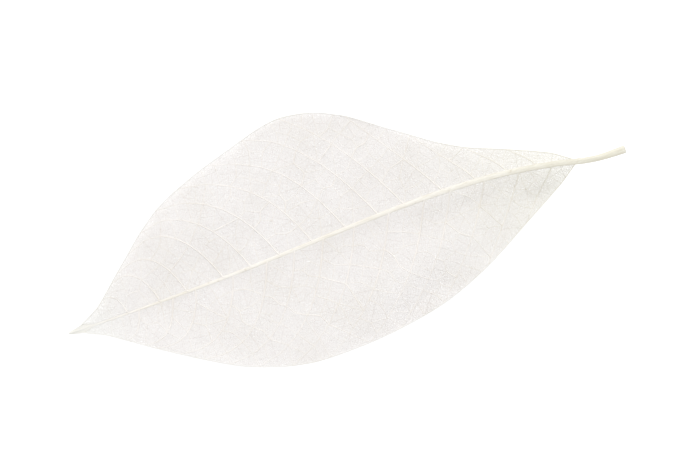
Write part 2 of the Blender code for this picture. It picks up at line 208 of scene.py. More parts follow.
def smooth(value):
    """0 up to 0, 1 from 1, and an even slope between."""
    value = clamp(value)
    return value * value * (3 - 2 * value)


def between(pair, share):
    return pair[0] + (pair[1] - pair[0]) * clamp(share)


def part_way(pair, value):
    """How far a value is on its way from the first of the pair to the second."""
    return (value - pair[0]) / (pair[1] - pair[0])


class Roll:
    """A soft roll along one half of the blade: it rises to a crest, then falls to the margin."""

    def __init__(self, side, centre, spread, height, crest, crest_slope, at_margin):
        self.side = side
        self.centre, self.spread = centre, spread
        self.height = height
        self.crest, self.crest_slope = crest, crest_slope
        self.at_margin = at_margin

    def rise(self, u, v):
        across = self.side * v
        if across <= 0:
            return 0.0
        crest = min(OUTERMOST_CREST, self.crest + self.crest_slope * (u - self.centre))
        if across < crest:
            share = smooth((across - ROLL_START) / max(SHORTEST_RISE, crest - ROLL_START))
        else:
            share = 1 - (1 - self.at_margin) * smooth((across - crest) / (1 - crest))
        return self.height * share * math.exp(-(((u - self.centre) / self.spread) ** 2))


ROLLS = (
    Roll(side=1, centre=0.36, spread=0.15, height=1.9, crest=0.62, crest_slope=0.9, at_margin=0.05),
    Roll(side=1, centre=0.17, spread=0.10, height=0.6, crest=0.50, crest_slope=0.9, at_margin=0.6),
    Roll(side=-1, centre=0.72, spread=0.13, height=1.3, crest=0.58, crest_slope=0.0, at_margin=0.5),
    Roll(side=-1, centre=0.36, spread=0.09, height=0.9, crest=0.70, crest_slope=0.0, at_margin=0.4),
    Roll(side=1, centre=0.80, spread=0.09, height=0.8, crest=0.75, crest_slope=0.0, at_margin=0.9),
)


def along_profile(profile, u):
    """A smooth curve through the profile's points."""
    u = clamp(u)
    last = len(profile) - 2
    i = next((k for k in range(last) if u < profile[k + 1][0]), last)
    (u0, w0), (u1, w1) = profile[i], profile[i + 1]
    before, after = profile[max(0, i - 1)], profile[min(last + 1, i + 2)]
    step = u1 - u0
    slope0 = (w1 - before[1]) / (u1 - before[0]) * step
    slope1 = (after[1] - w0) / (after[0] - u0) * step
    t = (u - u0) / step
    start = w0 * (2 * t**3 - 3 * t**2 + 1) + slope0 * (t**3 - 2 * t**2 + t)
    return start + w1 * (3 * t**2 - 2 * t**3) + slope1 * (t**3 - t**2)


def half_width(side, u):
    return BLADE_LENGTH * along_profile(NEAR_MARGIN if side > 0 else FAR_MARGIN, u)


def bow(u):
    """0 at both ends of the blade and 1 a quarter of the way along."""
    u = clamp(u)
    return u * (1 - u) ** 3 * BOW_SLOPE


def midrib_y(u):
    """Where the midrib's centre line runs. The stalk leaves the blade in its direction, then straightens."""
    reach = min(0.0, max(-STALK_BEND, u))
    bend = BOW_SLOPE * (reach + reach * reach / (2 * STALK_BEND))
    return MIDRIB_BOW * (bow(TOUCH_SHARE) - bow(u) - bend)


def cad_midrib_half_width(side, u):
    width = between(CAD_MIDRIB_HALF_WIDTH, u)
    return width + smooth(part_way(SOLID_TIP, u)) * (half_width(side, u) - width)


def to_plan(u, y):
    """A point of the map, u along the blade and y from the midrib's centre line."""
    return Vector(((u - TOUCH_SHARE) * BLADE_LENGTH, midrib_y(u) + y, 0.0))


def from_plan(point):
    """A point's share along the blade, its distance from the midrib, and its share of the half width."""
    u = point.x / BLADE_LENGTH + TOUCH_SHARE
    y = point.y - midrib_y(u)
    v = y / half_width(1 if y > 0 else -1, u)
    return u, y, min(1.0, max(-1.0, v))


def low_spot_depth(point):
    depth = 0.0
    for u, v, deepest, spread in LOW_SPOTS:
        spot = to_plan(u, v * half_width(1 if v > 0 else -1, u))
        depth += deepest * math.exp(-((point.xy - spot.xy).length / spread) ** 2)
    return depth


def relief(point):
    """Height of the leaf's lower face. It is 0 in the low spots."""
    u, y, v = from_plan(point)
    if u < 0:
        rise = FOLD_FADE * FOLD_HEIGHT / FOLD_END
        return BLADE_LIFT + FOLD_HEIGHT - rise * u - STALK_DROOP * u * u
    fold = FOLD_HEIGHT * max(0.0, 1 - u / FOLD_END) ** FOLD_FADE
    across = y / NEAR_FOLD if y > 0 else -y / FAR_FOLD
    height = BLADE_LIFT - low_spot_depth(point) + fold * (1 - FOLD_DEPTH * smooth(across))
    height += TIP_LIFT * max(0.0, part_way((TIP_LIFT_START, 1), u)) ** 2
    height -= TIP_HOOK * max(0.0, part_way((TIP_HOOK_START, 1), u)) ** 2
    wave = 0.5 - 0.5 * math.cos(2 * math.pi * MARGIN_WAVES * u + v)
    height += MARGIN_WAVE * (1 - smooth(part_way(WAVE_FADE, u))) * wave * smooth(3 * abs(v) - 2)
    return max(0.0, height + sum(roll.rise(u, v) for roll in ROLLS))


def midrib_ridge(u):
    """How much of the climb to the midrib there is at u."""
    return 1 - smooth(part_way(RIDGE_FADE, u))


def net_height(point):
    """Height of the net's middle: the relief, the climb to the midrib and the cockles of a dried blade."""
    u, y, _ = from_plan(point)
    away = smooth(abs(y) / COCKLE_START)
    ridge = RIDGE_HEIGHT * midrib_ridge(u) * math.exp(-((y / (NEAR_RIDGE if y > 0 else FAR_RIDGE)) ** 2))
    cockle = noise.noise(point / COCKLE_SIZE)
    cockle += SMALL_COCKLE_HEIGHT * noise.noise(point / (SMALL_COCKLE_SIZE * COCKLE_SIZE))
    height = COCKLE_HEIGHT * away * clamp(COCKLE_LEVEL + COCKLE_STRENGTH * cockle)
    return relief(point) + NET_FLOAT + ridge + height


def side_vein_end(side, start):
    """Where along the blade the side vein that leaves the midrib at start meets the margin."""
    reach = (half_width(side, start) + half_width(side, start + SWEEP_AHEAD)) / 2
    return start + SIDE_VEIN_SWEEP * reach / BLADE_LENGTH


def side_vein_point(side, start, v):
    """A point on the side vein that leaves the midrib at start: v is 0 at the midrib and 1 at the margin."""
    u = start + (side_vein_end(side, start) - start) * (0.5 * v + 0.5 * v**3)
    edge = cad_midrib_half_width(side, u)
    return to_plan(u, side * (edge + v * (half_width(side, u) - edge)))


def side_vein_starts(side, rng):
    gap = (LAST_SIDE_VEIN - FIRST_SIDE_VEIN) / (SIDE_VEINS - 1)
    first = FIRST_SIDE_VEIN + (0.0 if side > 0 else FAR_OFFSET * gap)
    return [first + gap * (k + rng.uniform(-START_SHIFT, START_SHIFT)) for k in range(SIDE_VEINS)]


def ring_pairs(ring):
    """Each item with the one after it, and the last with the first."""
    return zip(ring, ring[1:] + ring[:1])


def polygon_area(points):
    return 0.5 * sum(a.x * b.y - b.x * a.y for a, b in ring_pairs(points))


def long_way(points):
    """Centre of a polygon, the direction in which it is longest, and its length that way."""
    origin = points[0]
    local = [point - origin for point in points]
    cx = cy = xx = yy = xy = 0.0
    for a, b in ring_pairs(local):
        cross = a.x * b.y - b.x * a.y
        cx += cross * (a.x + b.x) / 6
        cy += cross * (a.y + b.y) / 6
        xx += cross * (a.x * a.x + a.x * b.x + b.x * b.x) / 12
        yy += cross * (a.y * a.y + a.y * b.y + b.y * b.y) / 12
        xy += cross * (a.x * b.y + 2 * a.x * a.y + 2 * b.x * b.y + b.x * a.y) / 24
    area = polygon_area(local)
    cx, cy = cx / area, cy / area
    xx, yy, xy = xx / area - cx * cx, yy / area - cy * cy, xy / area - cx * cy
    angle = 0.5 * math.atan2(2 * xy, xx - yy)
    spread = (xx + yy) / 2 + math.hypot((xx - yy) / 2, xy)
    return origin + Vector((cx, cy, 0)), angle, math.sqrt(12 * spread)


def inwards(way):
    return Vector((-way.y, way.x, 0))


def inner_corner(corners, ways, widths, a, b):
    """Where sides a and b of a polygon meet once each is moved inwards by its own width."""
    start = corners[a] + inwards(ways[a]) * widths[a]
    gap = corners[b] + inwards(ways[b]) * widths[b] - start
    turn = ways[a].x * ways[b].y - ways[a].y * ways[b].x
    if abs(turn) < STRAIGHT_TURN:
        way = (inwards(ways[a]) + inwards(ways[b])).normalized()
        return corners[b] + way * max(widths[a], widths[b])
    return start + ways[a] * ((gap.x * ways[b].y - gap.y * ways[b].x) / turn)


def opened(corners, widths):
    """For each side of a polygon, its two ends once it is moved inwards by its own width.

    A side that is used up on the way has both ends in one point. None if nothing of the polygon is left.
    """
    count = len(corners)
    ways = [(b - a).normalized() for a, b in ring_pairs(corners)]
    left = list(range(count))
    while True:
        ends = {}
        for before, k, after in zip(left[-1:] + left[:-1], left, left[1:] + left[:1]):
            start = inner_corner(corners, ways, widths, before, k)
            ends[k] = (start, inner_corner(corners, ways, widths, k, after))
        shortest = min(left, key=lambda k: (ends[k][1] - ends[k][0]).dot(ways[k]))
        if (ends[shortest][1] - ends[shortest][0]).dot(ways[shortest]) > SHORTEST_SIDE:
            break
        left.remove(shortest)
        if len(left) < 3:
            return None
    for k in range(count):
        if k not in ends:
            following = next(k + step for step in range(1, count) if (k + step) % count in left)
            ends[k] = (ends[following % count][0],) * 2
    return [ends[k] for k in range(count)]


def draw_together(around, rounds, share):
    """Moves each junction a share of the way to the middle of those around it, several times over."""
    for _ in range(rounds):
        places = {}
        for vert, others in around.items():
            middle = sum((other.co for other in others), Vector()) / len(others)
            places[vert] = vert.co.lerp(middle, share)
        for vert, place in places.items():
            vert.co = place


def stalk_share(u):
    """How far along the stalk u is, from the blade's base."""
    return -u * BLADE_LENGTH / STALK_LENGTH


def midrib_radius(sizes, u):
    """Radius of the visible midrib, which goes on as the stalk before the base."""
    if u < 0:
        flare = smooth(part_way((STALK_FLARE, 1), stalk_share(u)))
        return between((sizes.midrib_base / MM, sizes.stalk_end / MM), flare)
    growth = (sizes.midrib_base - sizes.midrib_tip) / MM
    return sizes.midrib_tip / MM + growth * (1 - min(1.0, u)) ** MIDRIB_TAPER


def drawn_tip(u):
    """How far the midrib has spread into the tip at u: 0 along the blade, 1 where it is the whole tip."""
    return smooth(part_way(DRAWN_TIP, u))


def midrib_half_width(sizes, side, u):
    radius = midrib_radius(sizes, u)
    return radius + drawn_tip(u) * (half_width(side, u) - radius)


class VeinMap:
    """The flat map of vein centre lines: a mesh whose faces are the meshes of the net."""

    def __init__(self, net, veins):
        self.net, self.veins = net, veins
        self.side_radii = (veins.side_base / MM, veins.side_end / MM)
        self.bm = bmesh.new()
        self.width = self.bm.edges.layers.float.new("half_width")
        self.line = self.bm.edges.layers.int.new("line")
        self.cross_vein = self.bm.edges.layers.int.new("cross_vein")
        self.piece = self.bm.faces.layers.int.new("piece")
        self.free = self.bm.verts.layers.int.new("free")
        self.rng = random.Random(SEED)
        self.next_line = FIRST_CROSS_LINE
        self.line_area = {}
        self.edges_by_line = {}

    def grow(self):
        """Draws the coarse map as the CAD solid has it, then cuts it down to the fine net."""
        starts = {side: side_vein_starts(side, self.rng) for side in SIDES}
        midrib_edges = {side: self.draw_midrib_edge(side, starts) for side in SIDES}
        bands = []
        for side in SIDES:
            bands += self.draw_side(side, starts[side], midrib_edges[side])
        self.cut_coarse(bands)
        self.relax(*COARSE_RELAX)
        self.tuck_under_midrib()
        self.cut_fine()
        self.relax(*FINE_RELAX)
        self.smooth_lines(*LINE_RELAX)
        for edge in self.bm.edges:
            if edge[self.line]:
                self.edges_by_line.setdefault(edge[self.line], []).append(edge)
        return self

    def draw_midrib_edge(self, side, starts):
        """The vertices along one edge of the CAD's midrib, by their share of the blade's length."""
        marks = sorted({0.0, TOUCH_SHARE, *SOLID_TIP, sum(SOLID_TIP) / 2, *starts[1], *starts[-1]})
        return {u: self.bm.verts.new(to_plan(u, side * cad_midrib_half_width(side, u))) for u in marks}

    def draw_side(self, side, starts, midrib_edge):
        """The side veins and margin of one half of the blade. Returns the bands between the veins."""
        tip = SOLID_TIP[1]
        ends = [side_vein_end(side, start) for start in starts]
        steps = round(tip / MARGIN_STEP)
        marks = {tip * k / steps for k in range(1, steps)}
        marks = {u for u in marks if all(abs(u - end) > NEAREST_MARK for end in ends)} | set(ends)
        margin = {u: self.bm.verts.new(to_plan(u, side * half_width(side, u))) for u in marks}
        margin[0.0], margin[tip] = midrib_edge[0.0], midrib_edge[tip]
        veins = []
        for start, end in zip(starts, ends):
            shares = [k / SIDE_VEIN_STEPS for k in range(1, SIDE_VEIN_STEPS)]
            middle = [self.bm.verts.new(side_vein_point(side, start, share)) for share in shares]
            veins.append([midrib_edge[start], *middle, margin[end]])
        bands = []
        borders = [([midrib_edge[0.0]], 0.0, 0.0), *zip(veins, starts, ends), ([midrib_edge[tip]], tip, tip)]
        for k in range(SIDE_VEINS + 1):
            vein, start, end = borders[k]
            next_vein, next_start, next_end = borders[k + 1]
            outer = [margin[u] for u in sorted(margin) if end < u < next_end]
            inner = [midrib_edge[u] for u in sorted(midrib_edge, reverse=True) if start < u < next_start]
            loop = vein + outer + next_vein[::-1] + inner
            band = self.bm.faces.new(loop if side < 0 else loop[::-1])
            part = sum(k > split for split in SPLIT_VEINS[side])
            band[self.piece] = part if side > 0 else part + len(NET_PARTS)
            bands.append(band)
        for k, vein in enumerate(veins):
            self.mark_line(vein, FIRST_SIDE_LINE[side] + k, self.side_radii)
        radii = (self.veins.margin / MM,) * 2
        self.mark_line([margin[u] for u in sorted(margin)], MARGIN_LINES[side], radii)
        self.mark_line([midrib_edge[u] for u in sorted(midrib_edge)], MIDRIB_LINES[side], radii)
        return bands

    def mark_line(self, verts, line, radii):
        """Numbers the edges along a line of vertices. The strip under a vein is as wide as the vein."""
        for k, pair in enumerate(zip(verts, verts[1:])):
            edge = self.bm.edges.get(pair)
            edge[self.line] = line
            edge[self.width] = between(radii, k / (len(verts) - 1))

    def cross_vein_radius(self, area):
        return self.veins.cross_base / MM + self.veins.cross_growth / MM * math.sqrt(area)

    def cut_coarse(self, bands):
        """Cuts the bands down to coarse meshes. Each cut is a cross vein with a line number of its own."""
        waiting = list(bands)
        while waiting:
            face = waiting.pop(0)
            area = face.calc_area()
            if area > COARSE_MESH:
                made = self.cut(face, self.cross_vein_radius(area), self.next_line)
                if made:
                    self.line_area[self.next_line] = area
                    self.next_line += 1
                waiting += made

    def tuck_under_midrib(self):
        """Draws the edges beside the midrib inwards, until they lie under the visible midrib."""
        for side in SIDES:
            edges = [edge for edge in self.bm.edges if edge[self.line] == MIDRIB_LINES[side]]
            for vert in {vert for edge in edges for vert in edge.verts}:
                u = vert.co.x / BLADE_LENGTH + TOUCH_SHARE
                u += (DRAWN_TIP[1] - SOLID_TIP[1]) * max(0.0, part_way(SOLID_TIP, u))
                vert.co = to_plan(u, side * TUCK * midrib_half_width(self.veins, side, u))

    def cut_fine(self):
        """Cuts every mesh down to the finest, but for a few whose last threads are missing."""
        finest = self.net.finest_mesh
        base, growth = self.net.thread / MM, self.net.thread_growth / MM
        waiting = list(self.bm.faces)
        while waiting:
            face = waiting.pop()
            area = face.calc_area()
            drift = noise.noise(face.verts[0].co / MESH_PATCH + PATCH_PLACE)
            if area < finest * (1 + MESH_VARIETY * drift):
                continue
            if area < SKIPPED_MESH and self.rng.random() < SKIPPED_CUTS:
                continue
            waiting += self.cut(face, base + growth * math.sqrt(area), 0)

    def cut(self, face, width, line):
        """Cuts a mesh in two with a vein across its long way. Returns both, or nothing if it can't be cut."""
        centre, angle, length = long_way([vert.co for vert in face.verts])
        along = Vector((math.cos(angle), math.sin(angle), 0))
        centre = centre + along * length * self.rng.uniform(-CUT_DRIFT, CUT_DRIFT)
        angle += self.rng.uniform(-CUT_TURN, CUT_TURN)
        along = Vector((math.cos(angle), math.sin(angle), 0))
        across = inwards(along)
        crossings = []
        for edge in face.edges:
            a, b = ((vert.co - centre).dot(along) for vert in edge.verts)
            if (a < 0) != (b < 0):
                place = edge.verts[0].co.lerp(edge.verts[1].co, a / (a - b))
                crossings.append(((place - centre).dot(across), edge, a / (a - b)))
        ahead = min((c for c in crossings if c[0] > 0), key=lambda c: c[0], default=None)
        behind = max((c for c in crossings if c[0] <= 0), key=lambda c: c[0], default=None)
        if not ahead or not behind:
            return []
        snap = SNAP * math.sqrt(face.calc_area())
        ends = [self.junction(edge, share, snap) for _, edge, share in (ahead, behind)]
        if ends[0] == ends[1] or self.bm.edges.get(ends):
            return []
        other, loop = bmesh.utils.face_split(face, *ends)
        loop.edge[self.width] = width
        loop.edge[self.line] = line
        loop.edge[self.cross_vein] = 1
        return [face, other]

    def junction(self, edge, share, snap):
        """The vertex where a new vein meets an edge: an end of it if that is near enough, or a new one."""
        start, end = edge.verts
        if share * edge.calc_length() < snap:
            return start
        if (1 - share) * edge.calc_length() < snap:
            return end
        is_free = edge[self.cross_vein]
        made = bmesh.utils.edge_split(edge, start, share)[1]
        made[self.free] = is_free
        return made

    def relax(self, rounds, share):
        """Draws each free junction towards its neighbours, as taut threads would."""
        around = {}
        for vert in self.bm.verts:
            if vert[self.free]:
                around[vert] = [edge.other_vert(vert) for edge in vert.link_edges]
        draw_together(around, rounds, share)

    def smooth_lines(self, rounds, share):
        """Takes the corners out of the margin, the side veins and the cross veins."""
        around = {}
        for vert in self.bm.verts:
            by_line = {}
            for edge in vert.link_edges:
                if edge[self.line]:
                    by_line.setdefault(edge[self.line], []).append(edge.other_vert(vert))
            passing = [others for others in by_line.values() if len(others) == 2]
            if len(passing) == 1:
                around[vert] = passing[0]
        draw_together(around, rounds, share)

    def path(self, line):
        """The points along a line, in order from the end nearest the midrib or the base."""
        around = {}
        for edge in self.edges_by_line[line]:
            for vert in edge.verts:
                around.setdefault(vert, []).append(edge.other_vert(vert))
        ends = [vert for vert, others in around.items() if len(others) == 1]
        if line in MARGIN_LINES.values():
            start = min(ends, key=lambda vert: vert.co.x)
        else:
            start = min(ends, key=lambda vert: (round(abs(from_plan(vert.co)[1]), 3), vert.co.x))
        path = [start]
        while True:
            onwards = [other for other in around[path[-1]] if other not in path[-2:]]
            if not onwards:
                return [vert.co.copy() for vert in path]
            path.append(onwards[0])


GROWN = {}


def vein_map():
    """The vein map, grown once for all the operators."""
    if "map" not in GROWN:
        scene = bpy.context.scene
        GROWN["map"] = VeinMap(scene.leaf_net, scene.leaf_veins).grow()
    return GROWN["map"]


def add_object(name, data):
    made = bpy.data.objects.new(name, data)
    bpy.context.scene.collection.objects.link(made)
    return made


class NetShell:
    """One piece of the net as a closed shell: a flat rounded strip along every side of every mesh."""

    def __init__(self, grown, piece):
        self.map = grown
        self.faces_in = [face for face in grown.bm.faces if face[grown.piece] == piece]
        self.points, self.faces, self.is_top = [], [], []
        self.levels = {}

    def add_point(self, place, height):
        self.points.append((place.x * MM, place.y * MM, height * MM))
        return len(self.points) - 1

    def add_face(self, corners, is_top):
        corners = [corner for k, corner in enumerate(corners) if corner != corners[k - 1]]
        if len(corners) > 2:
            self.faces.append(corners)
            self.is_top.append(is_top)

    def level(self, vert):
        """The upper and the lower point over a junction of the map."""
        if vert not in self.levels:
            middle = net_height(vert.co)
            crest = min(HIGHEST_CREST, CREST * max(edge[self.map.width] for edge in vert.link_edges))
            upper = self.add_point(vert.co, middle + crest)
            self.levels[vert] = (upper, self.add_point(vert.co, middle - LOWER_CREST * crest))
        return self.levels[vert]

    def open_mesh(self, face):
        """The strips round one mesh, above and below. A mesh with too small a hole is closed."""
        corners = [loop.vert for loop in face.loops]
        narrowed = min(1.0, math.sqrt(face.calc_area()) / NARROWED_MESH)
        widths = [narrowed * loop.edge[self.map.width] for loop in face.loops]
        inner = opened([vert.co for vert in corners], widths)
        upper = [self.level(vert)[0] for vert in corners]
        lower = [self.level(vert)[1] for vert in corners]
        if inner is None or polygon_area([start for start, _ in inner]) < SMALLEST_HOLE:
            self.add_face(upper, True)
            self.add_face(lower[::-1], False)
            return
        made = {}
        for k, (start, end) in enumerate(inner):
            after = (k + 1) % len(corners)
            near, far = (self.hole_point(made, place) for place in (start, end))
            self.add_face([upper[k], upper[after], far, near], True)
            self.add_face([lower[after], lower[k], near, far], False)

    def hole_point(self, made, place):
        key = (round(place.x, 4), round(place.y, 4))
        if key not in made:
            made[key] = self.add_point(place, net_height(place))
        return made[key]

    def close_rim(self):
        """Gives the piece's border threads their outer half."""
        inside = set(self.faces_in)
        outwards, border = {}, []
        for face in self.faces_in:
            for loop in face.loops:
                if any(other in inside for other in loop.edge.link_faces if other != face):
                    continue
                a, b = loop.vert, loop.link_loop_next.vert
                border.append((a, b))
                way = inwards((b.co - a.co).normalized())
                for vert in (a, b):
                    place, width = outwards.get(vert, (Vector(), 0.0))
                    outwards[vert] = (place - way, max(width, loop.edge[self.map.width]))
        rim = {}
        for vert, (way, width) in outwards.items():
            place = vert.co + way.normalized() * width
            rim[vert] = self.add_point(place, net_height(vert.co))
        for a, b in border:
            self.add_face([self.level(b)[0], self.level(a)[0], rim[a], rim[b]], True)
            self.add_face([self.level(a)[1], self.level(b)[1], rim[b], rim[a]], False)

    def build(self, name):
        for face in self.faces_in:
            self.open_mesh(face)
        self.close_rim()
        mesh = bpy.data.meshes.new(name)
        mesh.from_pydata(self.points, [], self.faces)
        mesh.shade_smooth()
        self.add_bake_map(mesh)
        mesh.update()
        return add_object(name, mesh)

    def add_bake_map(self, mesh):
        """A flat map of the piece for the export: one half for the upper side and one for the lower."""
        xs, ys, _ = zip(*self.points)
        wide, high = 1 - 2 * BAKE_EDGE, 0.5 - 2 * BAKE_EDGE
        layer = mesh.uv_layers.new(name="OFBake")
        range_x, range_y = (min(xs), max(xs)), (min(ys), max(ys))
        places = []
        for polygon, is_top in zip(mesh.polygons, self.is_top):
            for corner in polygon.vertices:
                across = BAKE_EDGE + high * part_way(range_y, ys[corner]) + (0.0 if is_top else 0.5)
                places += [BAKE_EDGE + wide * part_way(range_x, xs[corner]), across]
        layer.data.foreach_set("uv", places)


class MidribSolid:
    """The stalk, the midrib and the solid tip, as one closed shell of rings."""

    def __init__(self, sizes):
        self.sizes = sizes
        self.bm = bmesh.new()
        self.rings = []

    def station(self, u):
        """Centre, half width on either side and half height of the section at u."""
        radius = midrib_radius(self.sizes, u)
        tip = drawn_tip(u)
        widths = {side: midrib_half_width(self.sizes, side, u) for side in SIDES}
        bare = smooth(stalk_share(u) / STALK_ROUNDED)
        height = radius * (MIDRIB_FLATNESS + (1 - MIDRIB_FLATNESS) * bare)
        height += tip * (between(TIP_HALF_HEIGHT, part_way((DRAWN_TIP[1], 1), u)) - height)
        centre = to_plan(u, 0.0)
        float_height = MIDRIB_FLOAT * height + MIDRIB_LIFT + RIDGE_HEIGHT * midrib_ridge(u)
        float_height += tip * (NET_FLOAT - float_height)
        centre.z = relief(centre) + float_height + bare * (STALK_FLOAT - float_height)
        return centre, widths, height

    def add_ring(self, u, scale=1.0, shift=0.0):
        """A ring round the section at u, joined to the last one. On the tip it follows the relief."""
        centre, widths, height = self.station(u)
        tip = drawn_tip(u)
        ring = []
        for k in range(MIDRIB_SIDES):
            angle = 2 * math.pi * k / MIDRIB_SIDES
            way = Vector((0, math.cos(angle), math.sin(angle)))
            uneven = RIDGE_DEPTH * math.cos(MIDRIB_RIDGES * angle + RIDGE_TWIST * u)
            lump = Vector((centre.x / LUMP_LENGTH, LUMPS_ROUND * way.y, LUMPS_ROUND * way.z))
            uneven += LUMP_DEPTH * noise.noise(lump)
            stretch = scale * (1 + (1 - TIP_SMOOTHING * tip) * uneven)
            width = widths[1 if way.y > 0 else -1]
            offset = Vector((shift, way.y * width * stretch, way.z * height * stretch))
            if way.z > 0:
                offset.z += tip * TIP_RIDGE * scale * math.exp(-((offset.y / TIP_RIDGE) ** 2))
            if tip > 0:
                offset.z += tip * (relief(centre + offset) - relief(centre))
            ring.append(self.bm.verts.new(centre + offset))
        if self.rings:
            for (a, b), (c, d) in zip(ring_pairs(self.rings[-1]), ring_pairs(ring)):
                self.bm.faces.new((a, b, d, c))
        self.rings.append(ring)

    def close(self, ring):
        centre = self.bm.verts.new(sum((vert.co for vert in ring), Vector()) / len(ring))
        for a, b in ring_pairs(ring):
            self.bm.faces.new((a, b, centre))

    def build(self, name):
        start = -STALK_LENGTH / BLADE_LENGTH
        for scale, shift in CUT_END:
            self.add_ring(start, scale, shift)
        self.close(self.rings[0])
        count = round((1 - start) * BLADE_LENGTH / MIDRIB_STEP)
        for k in range(1, count):
            self.add_ring(start + (1 - start) * k / count)
        for scale, shift in TIP_END:
            self.add_ring(1.0, scale, shift)
        self.close(self.rings[-1])
        bmesh.ops.recalc_face_normals(self.bm, faces=self.bm.faces[:])
        bmesh.ops.scale(self.bm, vec=(MM, MM, MM), verts=self.bm.verts[:])
        mesh = bpy.data.meshes.new(name)
        self.bm.to_mesh(mesh)
        self.bm.free()
        mesh.shade_smooth()
        return add_object(name, mesh)


def fill(tree, node, values):
    """Sets a node's inputs. Each value is one for the input itself, or another node's output."""
    for socket, value in values.items():
        if isinstance(value, bpy.types.NodeSocket):
            tree.links.new(value, node.inputs[socket])
        else:
            node.inputs[socket].default_value = value


def add_node(tree, kind, values=None, **settings):
    made = tree.nodes.new(kind)
    for name, value in settings.items():
        setattr(made, name, value)
    fill(tree, made, values or {})
    return made


def add_output(tree, kind, values=None, **settings):
    """Adds a node and returns its first output."""
    return add_node(tree, kind, values, **settings).outputs[0]


def add_maths(tree, operation, *values):
    return add_output(tree, "ShaderNodeMath", dict(enumerate(values)), operation=operation)


def add_ramp(tree, value, source, target, **settings):
    """Maps a value from the source range to the target range."""
    values = dict(enumerate((value, *source, *target)))
    return add_output(tree, "ShaderNodeMapRange", values, **settings)


def add_noise(tree, place, scale, detail):
    return add_output(tree, "ShaderNodeTexNoise", {"Vector": place, "Scale": scale, "Detail": detail})


def mix_colour(tree, factor, first, second, blend="MIX"):
    values = {0: factor, 6: first, 7: second}
    return add_node(tree, "ShaderNodeMix", values, data_type="RGBA", blend_type=blend).outputs[2]


def new_group(name, kind, inputs, outputs):
    """A new node group, and what its input node gives. The sockets are given by name, each with its kind."""
    tree = bpy.data.node_groups.new(name, kind)
    for in_out, sockets in (("INPUT", inputs), ("OUTPUT", outputs)):
        for socket, socket_kind in sockets.items():
            tree.interface.new_socket(name=socket, in_out=in_out, socket_type="NodeSocket" + socket_kind)
    return tree, add_node(tree, "NodeGroupInput").outputs


def fibre_finish():
    """The shader group of the bleached fibre, shared by all the leaf's materials.

    It gives a colour that is warmer towards the stalk and greyer at the tip, with soft patches, small flecks
    and fibres, and a roughness and a height that follow them.
    """
    if "bleached fibre" in bpy.data.node_groups:
        return bpy.data.node_groups["bleached fibre"]
    inputs = dict.fromkeys(("Colour", "Stalk Colour", "Tip Colour"), "Color")
    inputs |= dict.fromkeys(("Stalk Reach", "Patches", "Flecks", "Fibres", "Roughness"), "Float")
    outputs = {"Colour": "Color", "Roughness": "Float", "Height": "Float"}
    tree, given = new_group("bleached fibre", "ShaderNodeTree", inputs, outputs)
    place = add_node(tree, "ShaderNodeTexCoord").outputs["Object"]

    # From the stalk to the tip
    x = add_output(tree, "ShaderNodeSeparateXYZ", {0: place})
    along = add_ramp(tree, x, (CAD_LOW.x, CAD_HIGH.x), (0.0, 1.0))
    soft = {"interpolation_type": "SMOOTHSTEP"}
    stalk = add_ramp(tree, along, (0.0, given["Stalk Reach"]), (1.0, 0.0), **soft)
    tip = add_ramp(tree, along, (TIP_COLOUR_START, 1.0), (0.0, 1.0), **soft)
    colour = mix_colour(tree, stalk, given["Colour"], given["Stalk Colour"])
    colour = mix_colour(tree, tip, colour, given["Tip Colour"])

    # Each pattern: its noise, the values between which it comes in, and the tint that it gives
    stretched = add_output(tree, "ShaderNodeVectorMath", {0: place, 1: FIBRE_STRETCH}, operation="MULTIPLY")
    fibres = add_noise(tree, stretched, 1.0, 3.0)
    patterns = {
        "Patches": (add_noise(tree, place, 140.0, 4.0), (0.42, 0.68), (0.74, 0.70, 0.58, 1)),
        "Flecks": (add_noise(tree, place, 900.0, 2.0), (0.66, 0.78), (0.52, 0.44, 0.30, 1)),
        "Fibres": (fibres, (0.65, 0.35), (0.66, 0.60, 0.46, 1)),
    }
    for name, (pattern, fade, tint) in patterns.items():
        strength = add_ramp(tree, pattern, fade, (0.0, given[name]))
        colour = mix_colour(tree, strength, colour, tint, "MULTIPLY")

    # The fine grain
    grain = add_noise(tree, place, GRAIN_SCALE, 3.0)
    shift = add_ramp(tree, grain, (0.3, 0.7), (-GRAIN_ROUGHNESS, GRAIN_ROUGHNESS))
    roughness = add_maths(tree, "ADD", given["Roughness"], shift)
    height = add_maths(tree, "MULTIPLY", grain, GRAIN_HEIGHT)
    height = add_maths(tree, "MULTIPLY_ADD", fibres, given["Fibres"], height)
    add_node(tree, "NodeGroupOutput", {"Colour": colour, "Roughness": roughness, "Height": height})
    return tree


def bleached_material(kind):
    """The bleached fibre of one kind of piece, made once."""
    name = "bleached_" + kind
    if name in bpy.data.materials:
        return bpy.data.materials[name]
    colours = bpy.context.scene.leaf_colours
    patches, flecks, fibres, roughness, bump, specular = FINISHES[kind]
    material = bpy.data.materials.new(name)
    material.use_nodes = True
    tree = material.node_tree
    values = {
        "Colour": (*getattr(colours, kind), 1.0),
        "Stalk Colour": (*colours.stalk, 1.0),
        "Tip Colour": (*colours.tip, 1.0),
        "Stalk Reach": colours.stalk_reach,
        "Patches": patches,
        "Flecks": flecks,
        "Fibres": fibres,
        "Roughness": roughness,
    }
    fibre = add_node(tree, "ShaderNodeGroup", values, node_tree=fibre_finish()).outputs
    shading = {
        "Base Color": fibre["Colour"],
        "Roughness": fibre["Roughness"],
        "Normal": add_output(tree, "ShaderNodeBump", {"Height": fibre["Height"], "Distance": bump * MM}),
        "Metallic": 0.0,
        "Specular IOR Level": specular,
    }
    fill(tree, tree.nodes["Principled BSDF"], shading)
    return material


